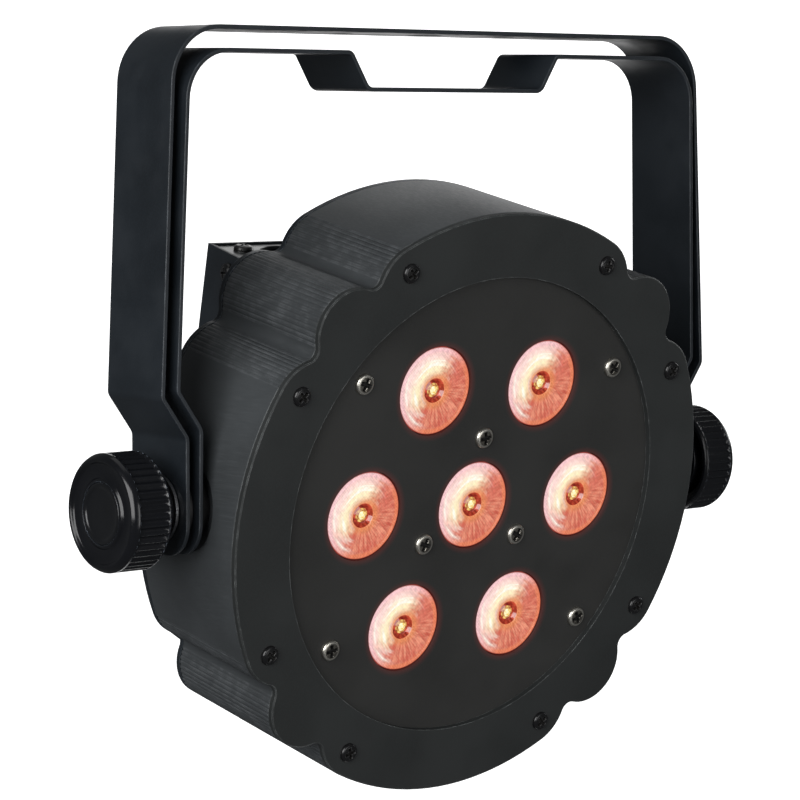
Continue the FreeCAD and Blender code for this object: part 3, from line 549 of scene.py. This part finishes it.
def screw_mesh(name, r, h, mats):
    """Pan head with a rounded rim, low crown and cross recess, on a plain shank; z points outwards."""
    count, steps = 64, 22
    arm, slot, depth = r * 0.62, r * 0.15, h * 0.75

    def crown(rr):
        return h * (0.72 + 0.28 * math.sqrt(max(0.0, 1 - (rr / r) ** 2)))

    def recess(x, y):
        along, across = max(abs(x), abs(y)), min(abs(x), abs(y))
        side = min(1.0, max(0.0, (slot * 1.25 - across) / (slot * 0.5)))
        end = min(1.0, max(0.0, (arm - along) / 0.2))
        return depth * side * end

    bm = bmesh.new()
    rows = [(0.0, -SHANK_LENGTH), (SHANK_R, -SHANK_LENGTH), (SHANK_R, 0.0), (r, 0.0), (r, h * 0.42),
            (r * 0.965, h * 0.62)]
    plain = len(rows)
    rows += [(r * 0.93 * (1 - i / steps), None) for i in range(1, steps + 1)]
    skin = []
    for rr, z in rows:
        if rr < 1e-6:
            skin.append([bm.verts.new((0, 0, (h - depth if z is None else z) * MM))])
            continue
        ring = []
        for k in range(count):
            a = 2 * math.pi * (k + 0.5) / count
            x, y = rr * math.cos(a), rr * math.sin(a)
            top = crown(rr) - recess(x, y) if z is None else z
            ring.append(bm.verts.new((x * MM, y * MM, top * MM)))
        skin.append(ring)
    # material 2 (cross) is the near-black recess colour: painted shade in the cross recess
    rim, face, cross = 0, 1, 2
    for k in range(len(skin) - 1):
        for f in bridge(bm, skin[k], skin[k + 1]):
            c = f.calc_center_median() / MM
            rr = math.hypot(c.x, c.y)
            if k < plain:
                f.material_index = rim
            elif rr < arm and c.z < crown(rr) - 0.12:
                f.material_index = cross
            else:
                f.material_index = rim if rr > r * 0.72 else face
    return to_mesh(bm, name, mats, 45)


def make_screws(m):
    """Ring screws and panel screws, each turned to its own angle."""
    outward = Matrix.Rotation(math.radians(90), 4, "X")
    ring = []
    for q in range(4):
        for s in (-1, 1):
            a = math.radians(90 * q + s * RING_SCREW_ANGLE)
            ring.append((RING_SCREW_R * math.cos(a), RING_SCREW_R * math.sin(a)))
    black = screw_mesh("ring_screw", 2.75, 1.35, [m["black_rim"], m["black_screw"], m["recess"]])
    steel = screw_mesh("panel_screw", 3.0, 1.35, [m["screw_rim"], m["screw_top_painted_shade"], m["recess"]])
    sets = (("ring_screw", black, ring, 0.0, "black_screw", "ring_screws"),
            ("panel_screw_outer", steel, PANEL_OUT, PANEL_FRONT, "stainless", "panel_screws_outer"),
            ("panel_screw_inner", steel, PANEL_IN, PANEL_FRONT, "stainless", "panel_screws_inner"))
    for name, me, points, y, slot, node in sets:
        for i, (x, z) in enumerate(points):
            turn = Matrix.Rotation(random.uniform(0, math.pi / 2), 4, "Z")
            at = HEAD @ Matrix.Translation((x * MM, y * MM, z * MM)) @ outward @ turn
            place("%s_%d" % (name, i + 1), me, at, "head", slot, node)


# ---- lenses ---------------------------------------------------------------
def lens_centres():
    pts = [(0.0, 0.0)]
    for i in range(6):
        a = math.radians(60 * i)
        pts.append((LENS_PITCH * math.cos(a), LENS_PITCH * math.sin(a)))
    return pts


def make_lenses(m):
    """Collimator lens: flat front with a rim step, centre well with the emitter's dome, cone behind."""
    face, well, dome, die = range(4)
    f = LENS_FRONT
    back = [(13.2, 0.0, face, 0), (13.2, 5.2, face, 0), (10.8, 7.4, face, 0), (8.0, 9.6, face, 0)]
    front = [(5.0, 11.4, face, 0), (4.2, LENS_R, face, 0.2), (f, LENS_R, face, 0.25),
             (f, 11.9, face, 0.06), (f + 0.16, 11.75, face, 0.06), (f + 0.16, 11.55, face, 0.06),
             (f, 11.4, face, 0.06), (f, 8.0, face, 0), (f, 5.0, face, 0), (f, 3.6, well, 0.2),
             (3.1, 3.3, well, 0), (3.7, 2.95, well, 0.1), (3.4, 2.3, dome, 0.3), (3.0, 1.5, die, 0.3),
             (2.85, 0.8, die, 0.2), (2.8, 0.0, die, 0)]
    mats = [m["lens_face"], m["lens_well"], m["lens_dome"], m["lens_die"]]
    me = spin("lens", rounded(back + front), 96, mats)
    # local X of the skin becomes the lens axis, which runs back along the head's Y
    to_axis = Matrix.Rotation(math.radians(90), 4, "Z")
    for i, (x, z) in enumerate(lens_centres()):
        at = HEAD @ Matrix.Translation((x * MM, 0, z * MM)) @ to_axis
        place("lens_%d" % (i + 1), me, at, "head", "lens_clear", "lenses")


def lens_plane(g):
    """Across a lens: x to the right and z up in mm, the radius, the direction, and object coordinates."""
    tc = g.node("ShaderNodeTexCoord")
    sep = g.node("ShaderNodeSeparateXYZ")
    g.link(tc.outputs["Object"], sep.inputs[0])
    x = g.times(sep.outputs[1], -1.0 / MM)
    z = g.times(sep.outputs[2], 1.0 / MM)
    r = g.math("SQRT", g.plus(g.times(x, x), g.times(z, z)))
    safe = g.math("MAXIMUM", r, 0.2)
    return x, z, r, g.math("DIVIDE", x, safe), g.math("DIVIDE", z, safe), tc.outputs["Object"]


def lens_face():
    """Lit lens front: salmon glow, a pale crescent to the upper left that is a painted highlight of the lit
    cone wall inside, fine grid, streaks from the centre.
    """
    g = Graph("lens_face")
    x, z, r, dx, dz, obj = lens_plane(g)
    side = g.plus(g.times(dx, -0.80), g.times(dz, 0.60))
    streak = g.noise(g.vector(dx, dz, g.times(r, 0.03)), 1 / 9.0, 3.0, 0.6)
    arcs = g.noise(g.vector(g.times(dx, 0.7), g.times(dz, 0.7), g.times(r, 0.45)), 1.0, 3.0, 0.6)
    swirl = g.noise(obj, 5.5 * MM, 2.0, 0.5)
    grain = g.noise(obj, 0.7 * MM, 2.0, 0.6)

    salmon = g.mix(g.ramp(streak, 0.3, 0.7), srgb(196, 92, 74), srgb(232, 150, 122))
    salmon = g.mix(g.ramp(swirl, 0.45, 0.7, 0.0, 0.6), salmon, srgb(206, 96, 84))
    salmon = g.mix(g.times(g.ramp(r, 6.5, 3.8), 0.5), salmon, srgb(236, 150, 84))

    # pale crescent to the upper left: a painted highlight of the lit cone wall inside the lens, fixed to one
    # side
    painted_crescent = g.ramp(g.plus(side, g.plus(g.centred(swirl, 0.7), g.centred(arcs, 2.2))), -0.3, 0.6)
    band = g.times(g.ramp(r, 3.2, 6.5), g.ramp(r, 12.2, 9.8, 0.55, 1.0))
    outward = g.ramp(g.plus(r, g.times(swirl, 4.0)), 8.0, 12.5)
    cream = g.mix(outward, srgb(255, 242, 200), srgb(252, 218, 212))
    cream = g.mix(g.ramp(arcs, 0.5, 0.62, 0.0, 0.9), cream, srgb(255, 253, 240))
    col = g.mix(g.times(painted_crescent, band), salmon, cream)

    # rim painted paler to the upper left, part of the same painted highlight
    rim_col = g.mix(g.ramp(side, -0.5, 0.5), srgb(226, 126, 88), srgb(244, 200, 206))
    col = g.mix(g.times(g.ramp(r, 10.6, 11.6), 0.75), col, rim_col)
    col = g.mix(g.ramp(r, LENS_R - 0.45, LENS_R - 0.05), col, srgb(150, 58, 48))

    waves = [g.math("SINE", g.times(axis, 2 * math.pi / LENS_GRID)) for axis in (x, z)]
    grid = g.times(waves[0], waves[1])
    tone = g.plus(g.times(grid, 0.12), g.ramp(grain, 0.3, 0.7, 0.86, 1.08))
    col = g.mix(1.0, col, g.grey(tone), "MULTIPLY")
    g.set(Base_Color=g.mix(1.0, col, (0.16, 0.16, 0.16), "MULTIPLY"), Emission_Color=col,
          Roughness=g.ramp(grain, 0.3, 0.7, 0.12, 0.24), Normal=g.bump(grid, 0.03 * MM, 0.5))
    g.shader.inputs["Emission Strength"].default_value = 0.96
    g.shader.inputs["Coat Weight"].default_value = 0.5
    g.shader.inputs["Coat Roughness"].default_value = 0.06
    return g.mat


def lens_glow(name, dark, light, size, strength):
    """Mottled glow of the parts down in the well."""
    g = Graph(name)
    n = g.noise(g.coords(), size, 3.0, 0.6)
    col = g.mix(g.ramp(n, 0.35, 0.68), dark, light)
    g.set(Base_Color=g.mix(1.0, col, (0.2, 0.2, 0.2), "MULTIPLY"), Emission_Color=col,
          Roughness=g.ramp(n, 0.3, 0.7, 0.1, 0.2), Normal=g.bump(n, 0.05 * MM))
    g.shader.inputs["Emission Strength"].default_value = strength
    g.shader.inputs["Coat Weight"].default_value = 0.6
    return g.mat


def panel_paint():
    """Matt panel with a faint painted warm glow round each lens, standing in for light spilled from the
    lenses.
    """
    g = paint_graph("panel_black", srgb(42, 42, 41), 0.66, 0.35 * MM, 0.015 * MM, spec=0.25, spread=0.18)
    obj = g.coords()
    nearest = 1.0
    for x, z in lens_centres():
        d = g.node("ShaderNodeVectorMath", operation="DISTANCE")
        g.link(obj, d.inputs[0])
        d.inputs[1].default_value = HEAD @ Vector((x * MM, PANEL_FRONT * MM, z * MM))
        nearest = g.math("MINIMUM", nearest, d.outputs["Value"])
    # painted light: emission on the panel near each lens stands in for the lenses' light falling on it
    glow = g.ramp(nearest, LENS_R * MM, (LENS_R + 2.2) * MM, 1.0, 0.0)
    g.set(Emission_Color=g.mix(glow, (0.0, 0.0, 0.0), srgb(150, 34, 22)))
    g.shader.inputs["Emission Strength"].default_value = 0.12
    return g.mat


# ---- stage and light ------------------------------------------------------
def sweep(name, a0, a1, lights_object):
    """Floor disc that curves up into a wall, over the bearings a0 to a1 in degrees."""
    bend = STAGE_BEND
    prof = [(0.0, FLOOR_Z), (STAGE_R * 0.4, FLOOR_Z), (STAGE_R - bend, FLOOR_Z)]
    for i in range(1, 9):
        t = i / 8 * math.pi / 2
        prof.append((STAGE_R - bend + bend * math.sin(t), FLOOR_Z + bend - bend * math.cos(t)))
    prof.append((STAGE_R, WALL_TOP))
    steps = 48
    bm = bmesh.new()
    rows = []
    for i in range(steps + 1):
        a = math.radians(a0 + (a1 - a0) * i / steps)
        rows.append([bm.verts.new((r * math.sin(a), r * math.cos(a), z)) for r, z in prof])
    for i in range(steps):
        for j in range(len(prof) - 1):
            f = bm.faces.new([rows[i][j], rows[i][j + 1], rows[i + 1][j + 1], rows[i + 1][j]])
            f.smooth = True
    bmesh.ops.remove_doubles(bm, verts=bm.verts, dist=1e-6)
    bmesh.ops.recalc_face_normals(bm, faces=bm.faces)
    me = bpy.data.meshes.new(name)
    bm.to_mesh(me)
    bm.free()
    ob = bpy.data.objects.new(name, me)
    bpy.context.collection.objects.link(ob)
    g = Graph(name)
    tone = g.ramp(g.noise(g.coords(), 0.5, 2.0), 0.3, 0.7, 0.985, 1.0)
    g.set(Base_Color=(0.8, 0.8, 0.8, 1.0), Roughness=0.9, Emission_Color=g.grey(tone))
    g.shader.inputs["Emission Strength"].default_value = STAGE_GLOW
    g.shader.inputs["Specular IOR Level"].default_value = 0.0
    me.materials.append(g.mat)
    ob.visible_diffuse = lights_object
    ob.visible_glossy = lights_object
    ob.visible_shadow = False


def area(name, pos, size, power):
    light = bpy.data.lights.new(name, "AREA")
    light.shape = "SQUARE"
    light.size = size
    light.energy = power
    ob = bpy.data.objects.new(name, light)
    ob.location = pos
    ob.rotation_euler = (Vector(AIM) - Vector(pos)).to_track_quat("-Z", "Y").to_euler()
    bpy.context.collection.objects.link(ob)


def make_studio():
    scene = bpy.context.scene
    scene.view_settings.view_transform = "Standard"
    scene.world = bpy.data.worlds.new("studio")
    scene.world.use_nodes = True
    sky = scene.world.node_tree.nodes["Background"]
    sky.inputs[0].default_value = (0.94, 0.97, 1.0, 1)
    sky.inputs[1].default_value = 0.10
    sweep("backdrop_behind", 26, 60, True)
    sweep("backdrop_round", 60, 386, False)
    area("key_left", (-1.25, -0.45, 0.25), 1.1, 22.0)
    area("top", (0.1, 0.25, 1.35), 1.1, 1.9)
    area("front", (0.0, -1.7, -0.15), 1.2, 14.0)
    area("right", (1.3, 0.1, 0.25), 0.5, 4.0)


# ---- main -------------------------------------------------------------------
make_camera()
make_studio()
materials = make_materials()
dress_nodes(materials)
make_knobs(materials)
make_lenses(materials)
make_screws(materials)
